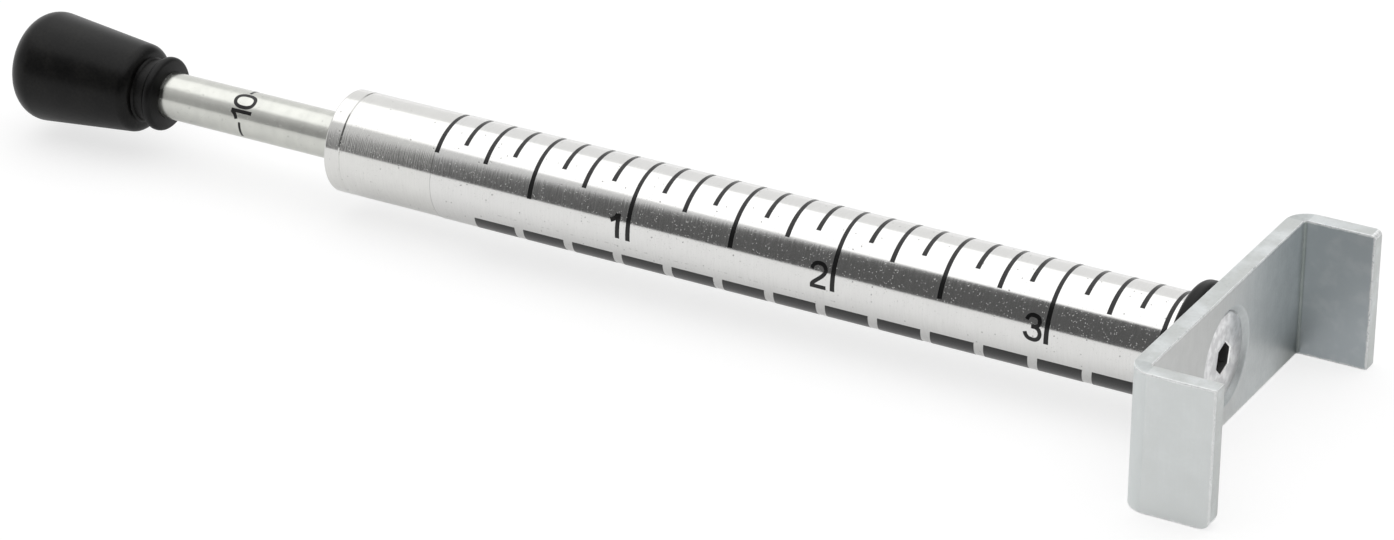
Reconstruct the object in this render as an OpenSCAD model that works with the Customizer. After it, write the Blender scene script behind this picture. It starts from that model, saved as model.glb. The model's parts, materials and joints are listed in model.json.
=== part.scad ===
// Belt tension gauge: a spring plunger in a scaled barrel, with a cradle that sits on the belt.
// The barrel lies along X. The cradle opens towards +X, and the knob is at the -X end.
// The origin is in the plane of the belt seat, on the axis of the barrel.

/* [Belt cradle] */
// Clear width between the two legs
channel_w = 38.7; // [30:0.1:60]
// Thickness of the steel strip
cradle_t = 2; // [1.5:0.1:3]
// Width of the steel strip
cradle_h = 16; // [14:0.5:24]
// How far the legs reach past the belt seat
leg_reach = 8.1; // [6:0.1:16]
// Inside radius of the two bends
bend_r = 0.3; // [0.2:0.1:1.5]
// Outside radius of the two bends
outer_bend_r = 2.8; // [2:0.1:3.5]
// Radius of the rounded corner at the tip of one leg
tip_corner_r = 1.3; // [0.5:0.1:2.5]

/* [Cradle screw] */
// Diameter of the thread
screw_d = 5; // [4:0.5:6]
// Diameter of the countersunk head
screw_head_d = 10; // [9:0.1:10.6]
// Height of the plain band round the top of the head
screw_land = 0.3; // [0.1:0.05:0.5]
// Depth of the head under the belt seat
screw_recess = 0.35; // [0.1:0.05:0.5]
// Length of the screw with its head
screw_len = 12; // [9:0.5:14]
// Width across the flats of the key socket
screw_hex_w = 3.1; // [2.5:0.1:3.4]
// Depth of the key socket
screw_hex_depth = 2.2; // [1:0.1:3]

/* [Barrel] */
// Outside diameter of the tube
barrel_d = 11.9; // [11.5:0.1:14]
// Wall of the tube
barrel_wall = 1.2; // [1:0.05:1.4]
// Length of the tube
barrel_len = 104.6; // [90:0.2:140]
// Thickness of the printed label round the tube
label_t = 0.05; // [0.03:0.01:0.2]
// Length of the label
label_len = 92.1; // [60:0.1:100]
// Gap between the label's end and the cradle
label_margin = 0.3; // [0.1:0.1:2]

/* [Marker ring] */
// Width of the rubber ring along the barrel
marker_w = 1.8; // [1:0.1:2.4]
// Height of the rubber ring above the label
marker_h = 1.65; // [1:0.05:2.4]
// Rounding of the ring's crown
marker_crown_r = 0.7; // [0.3:0.05:0.8]
// Gap between the ring and the cradle while the ring is parked
marker_gap = 0.3; // [0.2:0.1:2]

/* [End cap and bush] */
// Thickness of the cap's flange
cap_flange_t = 2; // [1.2:0.1:4]
// Rounding of the flange's outer edge
cap_edge_r = 0.5; // [0.2:0.1:1]
// Length of the cap's spigot in the tube
cap_spigot_len = 10; // [6:0.5:14]
// Wall of the guide bush
bush_wall = 1; // [0.6:0.1:1.2]
// Thickness of the rubber washer that the follower returns to
bumper_t = 1.5; // [1:0.1:3]

/* [Plunger] */
// Diameter of the rod
rod_d = 5.5; // [4.8:0.1:6]
// Length of rod between the cap and the knob
rod_exposed = 26.6; // [20:0.1:40]
// Step in the rod's radius where the follower seats
rod_step = 0.5; // [0.3:0.05:0.6]
// Depth of the rod in the knob and its boss
rod_socket = 14.5; // [8:0.5:16]
// Length of the follower's land in the tube
follower_len = 4; // [3:0.1:8]
// Length of the pilots that centre the spring
pilot_len = 2; // [1:0.1:4]
// Diameter of the retaining screw's thread
stop_screw_d = 3; // [2.5:0.1:3.2]
// Length of the retaining screw under its head
stop_screw_len = 6; // [4:0.5:10]
// Diameter of the retaining screw's head
stop_head_d = 5.5; // [5:0.1:6]
// Height of the retaining screw's head
stop_head_t = 2; // [1.2:0.1:3]

/* [Spring] */
// Diameter of the spring wire
wire_d = 1.3; // [0.9:0.05:1.4]
// Number of working coils between the two closed ends
working_coils = 19; // [12:1:24]
// Radial gap between the spring and the tube
spring_clear = 0.23; // [0.15:0.01:0.4]

/* [End plug] */
// Length of the plug in the tube
plug_len = 14; // [14:0.5:20]

/* [Knob] */
// Diameter of the knob at its outer end
knob_end_d = 13; // [11:0.1:15]
// Diameter of the knob at the rod
knob_neck_d = 10.5; // [8:0.1:10.8]
// Length of the knob without its boss
knob_len = 16.6; // [16:0.1:24]
// Rounding of the outer end
knob_end_r = 3.1; // [1:0.1:4]
// Rounding of the shoulder at the rod
knob_neck_r = 1.4; // [0.5:0.1:1.6]
// Diameter of the boss that the rubber ring rests against
knob_boss_d = 7.4; // [6.8:0.1:7.6]
// Length of the boss
knob_boss_len = 1.6; // [0.6:0.1:3]
// Width along the rod of the rubber ring between the knob and the cap
knob_ring_w = 1.35; // [1:0.05:2]
// Height of that ring above the rod
knob_ring_h = 1.6; // [1:0.1:2]
// Rounding of that ring's crown
knob_ring_crown_r = 0.55; // [0.2:0.05:0.6]

/* [Hidden] */

// Fits, each a gap on the radius or the length
push_fit = 0.01;
slide_fit = 0.04;
turn_fit = 0.03;
follower_play = 0.05;
seat_gap = 0.02;
rod_clear = 0.3;
pilot_clear = 0.1;
thread_gap = 0.02;
stop_gap = 0.1;
tap_depth_spare = 1.2;

// Small sizes of the hidden pieces
closed_gap = 0.5;
stop_hex_w = 2;
stop_hex_depth = 1;
plug_chamfer = 0.4;
follower_chamfer = 0.3;
rod_chamfer = 0.3;

// How far the cuts run past the faces that they open
overrun = 0.2;

// Turn of the key socket about the axis, in degrees
screw_hex_turn = 47.5;

// Steps that the spring's wire and the knob's roundings are made with
rings_per_turn = 8;
wire_sides = 6;
arc_steps = 8;

// Radii, with the spring's bore taken across the flats of its turns
barrel_r = barrel_d / 2;
bore_r = barrel_r - barrel_wall;
label_r = barrel_r + push_fit;
label_outer_r = label_r + label_t;
spigot_r = bore_r - push_fit;
rod_r = rod_d / 2;
tail_r = rod_r - rod_step;
bush_r = rod_r + turn_fit + bush_wall;
wire_r = wire_d / 2;
coil_r = bore_r - spring_clear - wire_r;
spring_bore_r = (coil_r - wire_r) * cos(180 / rings_per_turn);
pilot_r = spring_bore_r - pilot_clear;
screw_r = screw_d / 2;
screw_head_r = screw_head_d / 2;
countersink_r = screw_head_r + screw_land + screw_recess + seat_gap;
cradle_w = channel_w + 2 * cradle_t;

// Places along the axis, from the belt seat at zero down to the knob's end
plate_back_x = -cradle_t;
plug_seat_x = plate_back_x - plug_len;
label_start_x = plate_back_x - label_margin - label_len;
marker_x = plate_back_x - marker_gap - marker_w / 2;
barrel_end_x = plate_back_x - barrel_len;
cap_face_x = barrel_end_x - cap_flange_t;
spigot_end_x = barrel_end_x + cap_spigot_len;
bumper_end_x = spigot_end_x + bumper_t;
follower_seat_x = bumper_end_x + follower_len;
follower_end_x = follower_seat_x + pilot_len;
rod_end_x = follower_end_x + follower_play;
knob_boss_x = cap_face_x - rod_exposed;
knob_face_x = knob_boss_x - knob_boss_len;
knob_end_x = knob_face_x - knob_len;
rod_start_x = knob_boss_x - rod_socket;
knob_ring_x = knob_boss_x + seat_gap + knob_ring_w / 2;
plunger_travel = rod_exposed - seat_gap - knob_ring_w - stop_gap;
screw_tip_x = -screw_recess - screw_len;

// Spring: closed and ground ends, with the working coils spread between them
closed_coils = 1;
closed_pitch = wire_d + closed_gap;
closed_len = closed_coils * closed_pitch;
spring_len = plug_seat_x - follower_seat_x;
working_pitch = (spring_len - 2 * closed_len) / working_coils;
spring_turns = working_coils + 2 * closed_coils;
last_ring = spring_turns * rings_per_turn;

// Stiffness of the spring in newtons per millimetre, for steel wire
wire_shear_modulus = 79300;
spring_rate = wire_shear_modulus * pow(wire_d, 4) / (8 * pow(2 * coil_r, 3) * working_coils);

$fn = 64;

// Lays a shape that was made along Z along the barrel's axis, from place x towards the cradle
module on_axis(x) {
    translate([x, 0, 0]) rotate([0, 90, 0]) children();
}

// A plain round piece from one place on the axis to another
module round_bar(start, end, r) {
    on_axis(start) cylinder(h = end - start, r = r);
}

// A cone from one place on the axis to another
module cone_bar(start, end, r_start, r_end) {
    on_axis(start) cylinder(h = end - start, r1 = r_start, r2 = r_end);
}

// A ring of round section about the axis
module torus_ring(x, r, section) {
    on_axis(x) rotate_extrude() translate([r, 0]) circle(d = section);
}

// A ring about the axis, with a flat bore and a rounded crown
module crowned_ring(x, r, w, h, crown_r) {
    on_axis(x) rotate_extrude() {
        translate([r, -w / 2]) square([h - crown_r, w]);
        translate([r, crown_r - w / 2]) square([h, w - 2 * crown_r]);
        for (side = [-1, 1]) translate([r + h - crown_r, side * (w / 2 - crown_r)]) circle(crown_r);
    }
}

// A rectangle that starts at place x, with its two corners there rounded
module round_backed(x, reach, w, r) {
    translate([x + r, -w / 2]) square([reach - r, w]);
    translate([x, r - w / 2]) square([r, w - 2 * r]);
    for (side = [-1, 1]) translate([x + r, side * (w / 2 - r)]) circle(r);
}

// What a rounded corner takes off, about the centre of its radius
module corner_waste(r) {
    difference() {
        translate([0, -r - overrun]) square([r + overrun, r + overrun]);
        circle(r);
    }
}

// The countersunk seat that the cradle and the end plug share
module screw_seat() {
    cone_bar(screw_r - countersink_r, overrun, screw_r, countersink_r + overrun);
    round_bar(screw_tip_x - tap_depth_spare, 0, screw_r + thread_gap);
}

module belt_cradle() {
    color("gainsboro") difference() {
        linear_extrude(height = cradle_h, center = true) difference() {
            round_backed(-cradle_t, leg_reach + cradle_t, cradle_w, outer_bend_r);
            round_backed(0, leg_reach + overrun, channel_w, bend_r);
        }
        screw_seat();
        translate([leg_reach - tip_corner_r, -channel_w / 2 + overrun, tip_corner_r - cradle_h / 2])
            rotate([90, 0, 0])
                linear_extrude(height = cradle_t + 2 * overrun) corner_waste(tip_corner_r);
    }
}

module cradle_screw() {
    top = -screw_recess;
    cone_top = top - screw_land;
    cone_end = cone_top - (screw_head_r - screw_r);
    color("silver") difference() {
        union() {
            round_bar(cone_top, top, screw_head_r);
            cone_bar(cone_end, cone_top, screw_r, screw_head_r);
            round_bar(screw_tip_x, cone_end, screw_r);
        }
        on_axis(top - screw_hex_depth) rotate(screw_hex_turn)
            cylinder(h = screw_hex_depth + overrun, d = screw_hex_w / cos(30), $fn = 6);
    }
}

module barrel_tube() {
    color("lightgray") difference() {
        round_bar(barrel_end_x, plate_back_x, barrel_r);
        round_bar(barrel_end_x - overrun, plate_back_x + overrun, bore_r);
    }
}

module scale_label() {
    label_end_x = label_start_x + label_len;
    color("whitesmoke") difference() {
        round_bar(label_start_x, label_end_x, label_outer_r);
        round_bar(label_start_x - overrun, label_end_x + overrun, label_r);
    }
}

module marker_ring() {
    color("dimgray")
        crowned_ring(marker_x, label_outer_r + slide_fit, marker_w, marker_h, marker_crown_r);
}

module end_plug() {
    color("lightgray") difference() {
        union() {
            round_bar(plug_seat_x + plug_chamfer, plate_back_x, spigot_r);
            cone_bar(plug_seat_x, plug_seat_x + plug_chamfer, spigot_r - plug_chamfer, spigot_r);
            round_bar(plug_seat_x - pilot_len, plug_seat_x, pilot_r);
        }
        screw_seat();
    }
}

module end_cap() {
    edge_r = barrel_r - cap_edge_r;
    color("lightgray") difference() {
        union() {
            round_bar(cap_face_x, barrel_end_x, edge_r);
            round_bar(cap_face_x + cap_edge_r, barrel_end_x, barrel_r);
            torus_ring(cap_face_x + cap_edge_r, edge_r, 2 * cap_edge_r);
            round_bar(barrel_end_x, spigot_end_x, spigot_r);
        }
        round_bar(cap_face_x - overrun, spigot_end_x, rod_r + rod_clear);
        round_bar(barrel_end_x, spigot_end_x + overrun, bush_r + push_fit);
    }
}

module guide_bush() {
    color("peru") difference() {
        round_bar(barrel_end_x, spigot_end_x, bush_r);
        round_bar(barrel_end_x - overrun, spigot_end_x + overrun, rod_r + turn_fit);
    }
}

module return_bumper() {
    color("dimgray") difference() {
        round_bar(spigot_end_x, bumper_end_x, spigot_r - slide_fit);
        round_bar(spigot_end_x - overrun, bumper_end_x + overrun, rod_r + rod_clear);
    }
}

module plunger_rod() {
    color("silver") difference() {
        union() {
            cone_bar(rod_start_x, rod_start_x + rod_chamfer, rod_r - rod_chamfer, rod_r);
            round_bar(rod_start_x + rod_chamfer, bumper_end_x, rod_r);
            round_bar(bumper_end_x, rod_end_x, tail_r);
        }
        round_bar(rod_end_x - stop_screw_len - tap_depth_spare, rod_end_x + overrun,
            stop_screw_d / 2 + thread_gap);
    }
}

module spring_follower() {
    land_r = bore_r - slide_fit;
    color("darkgoldenrod") difference() {
        union() {
            cone_bar(bumper_end_x, bumper_end_x + follower_chamfer, land_r - follower_chamfer, land_r);
            round_bar(bumper_end_x + follower_chamfer, follower_seat_x, land_r);
            round_bar(follower_seat_x, follower_end_x, pilot_r);
        }
        round_bar(bumper_end_x - overrun, follower_end_x + overrun, tail_r + turn_fit);
    }
}

module follower_screw() {
    head_end_x = rod_end_x + stop_head_t;
    color("silver") difference() {
        union() {
            round_bar(rod_end_x - stop_screw_len, rod_end_x, stop_screw_d / 2);
            round_bar(rod_end_x, head_end_x, stop_head_d / 2);
        }
        on_axis(head_end_x - stop_hex_depth)
            cylinder(h = stop_hex_depth + overrun, d = stop_hex_w / cos(30), $fn = 6);
    }
}

// Distance of the wire's centre from the follower after a number of turns
function coil_rise(turn) =
    turn < closed_coils ? turn * closed_pitch
    : turn < closed_coils + working_coils ? closed_len + (turn - closed_coils) * working_pitch
    : spring_len - (spring_turns - turn) * closed_pitch;

// A point of the wire's centre line
function coil_centre(i) =
    let (turn = i / rings_per_turn, a = 360 * turn)
    [follower_seat_x + coil_rise(turn), coil_r * cos(a), coil_r * sin(a)];

// A point on the wire's surface, held between the two ground end planes
function wire_point(i, j) =
    let (turn = i / rings_per_turn, a = 360 * turn, b = 360 * j / wire_sides,
        r = coil_r + wire_r * cos(b),
        rise = min(spring_len, max(0, coil_rise(turn) + wire_r * sin(b))))
    [follower_seat_x + rise, r * cos(a), r * sin(a)];

// The two triangles between one side of two neighbouring rings
function wire_side(i, j) =
    let (a = i * wire_sides + j, b = i * wire_sides + (j + 1) % wire_sides)
    [[a, a + wire_sides, b], [b, a + wire_sides, b + wire_sides]];

// The triangles that close a ring, as a fan about the point that is off the ground flat
function wire_end(i, apex, flip) =
    [for (k = [1 : wire_sides - 2])
        let (a = i * wire_sides + apex,
            b = i * wire_sides + (apex + k) % wire_sides,
            c = i * wire_sides + (apex + k + 1) % wire_sides)
        flip ? [a, c, b] : [a, b, c]];

// Least gap between the wire and itself, one turn or more further on
function least_spring_gap() =
    let (p = [for (i = [0 : last_ring]) coil_centre(i)])
    min([for (i = [0 : last_ring - rings_per_turn])
        min([for (j = [i + rings_per_turn - 1 : min(last_ring, i + 2 * rings_per_turn)])
            norm(p[j] - p[i])])]) - wire_d;

module plunger_spring() {
    points = [for (i = [0 : last_ring], j = [0 : wire_sides - 1]) wire_point(i, j)];
    sides = [for (i = [0 : last_ring - 1], j = [0 : wire_sides - 1]) each wire_side(i, j)];
    echo("least gap between the spring's turns, mm", least_spring_gap());
    echo("spring rate, N per mm", spring_rate);
    echo("plunger travel, mm", plunger_travel);
    color("gray") polyhedron(points, concat(sides, wire_end(0, 1, false), wire_end(last_ring, 4, true)));
}

// Points on an arc about [x, r], between two angles
function arc_points(x, r, radius, from, to) =
    [for (k = [0 : arc_steps])
        let (a = from + (to - from) * k / arc_steps)
        [r + radius * sin(a), x + radius * cos(a)]];

// The taper runs along the common tangent of the roundings at the knob's two ends
module knob_outline() {
    ax = knob_end_x + knob_end_r;
    ar = knob_end_d / 2 - knob_end_r;
    bx = knob_face_x - knob_neck_r;
    br = knob_neck_d / 2 - knob_neck_r;
    span = norm([bx - ax, br - ar]);
    tangent = atan2(br - ar, bx - ax) + acos((knob_end_r - knob_neck_r) / span);
    polygon(concat(
        [[0, knob_end_x]],
        arc_points(ax, ar, knob_end_r, 180, tangent),
        arc_points(bx, br, knob_neck_r, tangent, 0),
        [[0, knob_face_x]]));
}

module knob() {
    color("black") difference() {
        union() {
            on_axis(0) rotate_extrude() knob_outline();
            round_bar(knob_face_x - knob_neck_r, knob_boss_x, knob_boss_d / 2);
        }
        round_bar(rod_start_x, knob_boss_x + overrun, rod_r + push_fit);
    }
}

module knob_ring() {
    color("black")
        crowned_ring(knob_ring_x, rod_r + push_fit, knob_ring_w, knob_ring_h, knob_ring_crown_r);
}

belt_cradle();
cradle_screw();
barrel_tube();
scale_label();
marker_ring();
end_plug();
end_cap();
guide_bush();
return_bumper();
plunger_rod();
spring_follower();
follower_screw();
plunger_spring();
knob();
knob_ring();
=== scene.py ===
"""Belt tension gauge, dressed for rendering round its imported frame.

The barrel lies along X, with the belt seat at x = 0. The cradle opens towards +X, the knob is at
the -X end, and an angle round the barrel is counted from the -Y side up towards +Z.
The sizes in the classes are millimetres, and every mesh is made in metres.
"""
import json
import logging
import math
from dataclasses import dataclass
from enum import Enum
from functools import cache, cached_property
from typing import Any, Callable, ClassVar, NamedTuple, Sequence

import bmesh
import bpy
from mathutils import Matrix, Vector

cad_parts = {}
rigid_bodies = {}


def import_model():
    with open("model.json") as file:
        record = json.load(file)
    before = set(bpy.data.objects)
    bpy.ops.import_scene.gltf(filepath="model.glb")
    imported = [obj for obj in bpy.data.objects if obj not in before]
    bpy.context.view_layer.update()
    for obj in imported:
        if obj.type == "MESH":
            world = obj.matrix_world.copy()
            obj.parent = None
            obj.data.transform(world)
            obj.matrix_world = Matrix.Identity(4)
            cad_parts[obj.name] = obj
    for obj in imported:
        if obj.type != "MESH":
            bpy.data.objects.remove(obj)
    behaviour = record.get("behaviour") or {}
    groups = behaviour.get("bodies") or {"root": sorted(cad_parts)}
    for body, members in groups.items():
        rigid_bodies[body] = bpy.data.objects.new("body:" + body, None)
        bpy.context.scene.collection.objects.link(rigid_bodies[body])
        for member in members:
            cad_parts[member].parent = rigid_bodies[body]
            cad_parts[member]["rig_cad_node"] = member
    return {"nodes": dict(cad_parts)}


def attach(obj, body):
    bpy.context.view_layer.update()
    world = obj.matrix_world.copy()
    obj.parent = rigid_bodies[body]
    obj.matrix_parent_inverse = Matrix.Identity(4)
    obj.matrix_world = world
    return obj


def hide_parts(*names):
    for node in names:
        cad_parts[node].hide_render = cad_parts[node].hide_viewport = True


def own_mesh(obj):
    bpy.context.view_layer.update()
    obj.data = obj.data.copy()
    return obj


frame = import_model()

LOG = logging.getLogger("belt_tension_gauge")
MM = 0.001

Point2 = tuple[float, float]
Point3 = tuple[float, float, float]
Colour = tuple[float, float, float]


# Shader graphs

class Wire:
    """A value, colour or vector in a shader graph; its operators add the Math nodes."""

    def __init__(self, graph: "Graph", socket: bpy.types.NodeSocket) -> None:
        """Keeps the graph and the output socket that carries the value."""
        self.graph = graph
        self.socket = socket

    def _maths(self, operation: str, first: Any, second: Any = 0.0) -> "Wire":
        """Adds one Math node.

        Args:
            operation: Blender's name of the operation.
            first: The first value, a number or a wire.
            second: The second value.

        Returns:
            The node's result.
        """
        return self.graph.node("ShaderNodeMath", {"operation": operation}, {0: first, 1: second})

    def __add__(self, other: Any) -> "Wire":
        """Sum."""
        return self._maths("ADD", self, other)

    __radd__ = __add__

    def __sub__(self, other: Any) -> "Wire":
        """Difference."""
        return self._maths("SUBTRACT", self, other)

    def __rsub__(self, other: Any) -> "Wire":
        """Difference, with the number first."""
        return self._maths("SUBTRACT", other, self)

    def __mul__(self, other: Any) -> "Wire":
        """Product."""
        return self._maths("MULTIPLY", self, other)

    __rmul__ = __mul__

    def __truediv__(self, other: Any) -> "Wire":
        """Quotient."""
        return self._maths("DIVIDE", self, other)

    def __abs__(self) -> "Wire":
        """Size without its sign."""
        return self._maths("ABSOLUTE", self)

    def most(self, other: Any) -> "Wire":
        """The larger of two values."""
        return self._maths("MAXIMUM", self, other)

    def root(self) -> "Wire":
        """Square root."""
        return self._maths("SQRT", self)

    def angle_to(self, other: Any) -> "Wire":
        """Angle in degrees of the point with this height and that reach."""
        return self._maths("ARCTAN2", self, other) * math.degrees(1.0)

    def step(self, low: float, high: float) -> "Wire":
        """Rises smoothly from 0 to 1.

        Args:
            low: Value at which the result is 0.
            high: Value at which the result is 1; it may be below low.

        Returns:
            The smooth step.
        """
        at_low, at_high = (0.0, 1.0) if low < high else (1.0, 0.0)
        return self.graph.node("ShaderNodeMapRange", {"interpolation_type": "SMOOTHSTEP"},
                               {0: self, 1: min(low, high), 2: max(low, high),
                                3: at_low, 4: at_high})


class Graph:
    """A node tree under construction."""

    def __init__(self, tree: bpy.types.NodeTree) -> None:
        """Empties the tree."""
        self.tree = tree
        tree.nodes.clear()

    def node(self, kind: str, settings: dict[str, Any] | None = None,
             inputs: dict[Any, Any] | None = None, output: Any = 0) -> Wire:
        """Adds a node.

        Args:
            kind: Blender's name of the node type.
            settings: Properties that are set first.
            inputs: Numbers, colours, vectors or wires by socket name or number.
            output: Name or number of the output that is wanted.

        Returns:
            That output.
        """
        made = self.tree.nodes.new(kind)
        for name, value in (settings or {}).items():
            setattr(made, name, value)
        for name, value in (inputs or {}).items():
            socket = made.inputs[name]
            if isinstance(value, Wire):
                self.tree.links.new(value.socket, socket)
            else:
                socket.default_value = (*value, 1.0) if socket.type == "RGBA" else value
        return Wire(self, made.outputs[output] if made.outputs else None)

    def mix(self, share: Any, first: Any, second: Any) -> Wire:
        """Blends two colours.

        Args:
            share: How much of the second colour shows.
            first: Colour at share 0.
            second: Colour at share 1.

        Returns:
            The blended colour.
        """
        return self.node("ShaderNodeMix", {"data_type": "RGBA"}, {0: share, 6: first, 7: second}, 2)

    def parts(self, vector: Wire) -> tuple[Wire, Wire, Wire]:
        """The three parts of a vector."""
        outputs = self.node("ShaderNodeSeparateXYZ", None, {0: vector}).socket.node.outputs
        return tuple(Wire(self, output) for output in outputs)

    def ray(self, kind: str) -> Wire:
        """1 for rays of a kind, such as "Camera", and 0 for the others."""
        return self.node("ShaderNodeLightPath", output=f"Is {kind} Ray")


class Surface(Graph):
    """One material's graph, with the textures that the finishes share. Lengths are in mm."""

    def __init__(self, name: str) -> None:
        """Makes the material, with the place on the piece.

        Args:
            name: Name of the finish.
        """
        self.material = bpy.data.materials.new(name + "_look")
        self.material.use_nodes = True
        super().__init__(self.material.node_tree)
        where = self.node("ShaderNodeTexCoord", output="Object")
        self.place = self.node("ShaderNodeVectorMath", {"operation": "SCALE"},
                               {0: where, "Scale": 1.0 / MM})

    @cached_property
    def axes(self) -> tuple[Wire, Wire, Wire]:
        """The place's three parts."""
        return self.parts(self.place)

    def stretched(self, x: float, y: float, z: float) -> Wire:
        """The place with each part multiplied by its own number."""
        return self.node("ShaderNodeVectorMath", {"operation": "MULTIPLY"},
                         {0: self.place, 1: (x, y, z)})

    def noise(self, scale: float, detail: float, at: Wire | None = None) -> Wire:
        """Smooth noise between 0 and 1.

        Args:
            scale: Blotches in a millimetre.
            detail: Finer layers that are added.
            at: Place to read it at, the surface's own where none is given.

        Returns:
            The noise.
        """
        return self.node("ShaderNodeTexNoise", {"noise_dimensions": "3D"},
                         {"Vector": at or self.place, "Scale": scale, "Detail": detail})

    def specks(self, scale: float, radius: float, share: float) -> Wire:
        """Small round spots, scattered at random.

        Args:
            scale: Cells in a millimetre, each with room for one spot.
            radius: Radius of a spot, as a share of a cell.
            share: Share of the cells that have a spot.

        Returns:
            1 inside the spots and 0 outside.
        """
        near = self.node("ShaderNodeTexVoronoi", {"feature": "F1"},
                         {"Vector": self.place, "Scale": scale})
        chance = self.parts(Wire(self, near.socket.node.outputs["Color"]))[0]
        return near.step(radius, radius * 0.5) * chance.step(1.0 - share, 1.02 - share)

    def finish(self, colour: Wire, roughness: Wire, height: Wire,
               **others: Any) -> bpy.types.Material:
        """Closes the graph with one Principled shader.

        Args:
            colour: Base colour.
            roughness: Roughness.
            height: Relief in millimetres.
            others: Values of other sockets, with underscores for the spaces in their names.

        Returns:
            The material.
        """
        bump = self.node("ShaderNodeBump", None,
                         {"Height": height, "Distance": MM, "Strength": 1.0})
        inputs = {"Base Color": colour, "Roughness": roughness, "Normal": bump}
        inputs |= {name.replace("_", " "): value for name, value in others.items()}
        shader = self.node("ShaderNodeBsdfPrincipled", None, inputs)
        self.node("ShaderNodeOutputMaterial", None, {"Surface": shader})
        return self.material


# Finishes

@dataclass(frozen=True)
class ZincPlate:
    """Bright zinc over rolled steel: cloudy, satin, with painted light on the legs' outer faces and
    bends, painted shade between the legs, and rubbed edges carrying a painted highlight.
    """

    name: str = "zinc_plate"
    pale: Colour = (0.690, 0.716, 0.718)
    dull: Colour = (0.585, 0.612, 0.618)
    # Partly rubbed zinc and partly a painted highlight on the deburred edges.
    edge: Colour = (0.93, 0.94, 0.94)
    # The next two colours are painted light: paler outer faces for the legs and paler outer bends.
    outside: Colour = (0.675, 0.695, 0.685)
    bent: Colour = (0.855, 0.88, 0.872)
    # The next four colours are painted shade on the faces between the legs: a lighter grade by the
    # near leg, deeper grades by the far leg, the deepest low in its corner.
    painted_inner_shade: Colour = (0.555, 0.55, 0.535)
    shaded: Colour = (0.445, 0.482, 0.502)
    shaded_greenish: Colour = (0.455, 0.502, 0.482)
    darkest_shade: Colour = (0.28, 0.30, 0.295)
    sheared: Colour = (0.50, 0.52, 0.51)
    half_height: float = 8.0
    reach: float = 8.1
    inner_y: float = 19.35
    outer_y: float = 21.35
    bend_x: float = 0.8
    bend_y: float = 18.55
    edge_start: float = 0.34
    edge_full: float = 0.14
    seat_r: float = 6.0

    def material(self) -> bpy.types.Material:
        """Builds the material.

        Returns:
            The material.
        """
        s = Surface(self.name)
        x, y, z = s.axes
        cloud = s.noise(0.55, 4.0)
        mottle = s.noise(2.6, 3.0)
        rolled = s.noise(1.0, 3.0, s.stretched(5.0, 5.0, 0.22))
        tone = (cloud * 0.50 + mottle * 0.30 + rolled * 0.25).step(0.30, 0.78)
        past_face = abs(z).most(x - (self.reach - self.half_height))
        top = past_face.step(self.half_height - 0.05, self.half_height - 0.01)
        glints = s.noise(0.22, 3.0).step(0.44, 0.66)
        # Rubbed edges with a painted highlight; bare spots on them lose most of their metal look.
        edge_wear_and_highlight = self._rubbed_lit_edges(s, top)
        bare = edge_wear_and_highlight * s.noise(1.6, 3.0).step(0.42, 0.60)
        # Painted shade along the crease of each inner bend, which is also rougher.
        crease = abs(y).step(self.inner_y - 0.45, self.inner_y - 0.25) * x.step(0.45, 0.30)
        seat = (y * y + z * z).root().step(self.seat_r, self.seat_r - 0.12) * x.step(0.0, -0.03)
        colour = self._between_legs(s, cloud, self._outside_painted_light(s, tone))
        # The sheared top faces are duller, save for patches that keep the paler tone as painted
        # glints.
        colour = s.mix(top * (1.0 - glints), colour, self.sheared)
        # The rubbed edges take the pale edge colour, partly a painted highlight; the inner crease
        # is painted a little shaded.
        colour = s.mix(edge_wear_and_highlight, s.mix(crease * 0.15, colour, self.shaded), self.edge)
        roughness = 0.40 - tone * 0.07 + edge_wear_and_highlight * 0.25 + seat * 0.20 + crease * 0.3
        height = mottle * 0.0022 + rolled * 0.0022 + edge_wear_and_highlight * s.noise(5.0, 2.0) * 0.02
        return s.finish(colour, roughness, height, Metallic=1.0 - bare * 0.85)

    def _rubbed_lit_edges(self, s: Surface, top: Wire) -> Wire:
        """Finds the wavy line of the deburred edges, where the zinc is rubbed bright and a painted
        highlight is laid.

        Args:
            s: The material's graph.
            top: 1 on the sheared faces.

        Returns:
            1 on the worn edges, and less towards their sides.
        """
        x, _, z = s.axes
        wave = s.noise(1.1, 3.0) * 0.22 - 0.11
        rim = (abs(z) + wave).step(self.half_height - self.edge_start,
                                   self.half_height - self.edge_full)
        rim = rim.most((x + wave).step(self.reach - self.edge_start, self.reach - self.edge_full))
        return rim * (1.0 - top * 0.85) * s.noise(3.2, 3.0).step(0.20, 0.50)

    def _outside_painted_light(self, s: Surface, tone: Wire) -> Wire:
        """Colours the plate, with painted light that makes the outer faces of its legs and bends
        paler.

        Args:
            s: The material's graph.
            tone: The clouds in the zinc.

        Returns:
            The colour.
        """
        x, y, z = s.axes
        from_x, from_y = x - self.bend_x, abs(y) - self.bend_y
        bend = (from_x * from_x + from_y * from_y).root().step(2.4, 2.7)
        bend = bend * x.step(0.46, 0.26) * from_y.step(0.1, 1.5)
        # Painted light: the outer faces of the legs are paler.
        leg = abs(y).step(self.outer_y - 0.45, self.outer_y - 0.15) * (0.75 - tone * 0.3)
        colour = s.mix(leg, s.mix(tone, self.dull, self.pale), self.outside)
        # The outer bends and the foot of each leg take more painted light.
        colour = s.mix(bend, colour, self.bent)
        return s.mix(leg * z.step(-2.0, -7.5) * 0.3, colour, self.bent)

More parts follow.
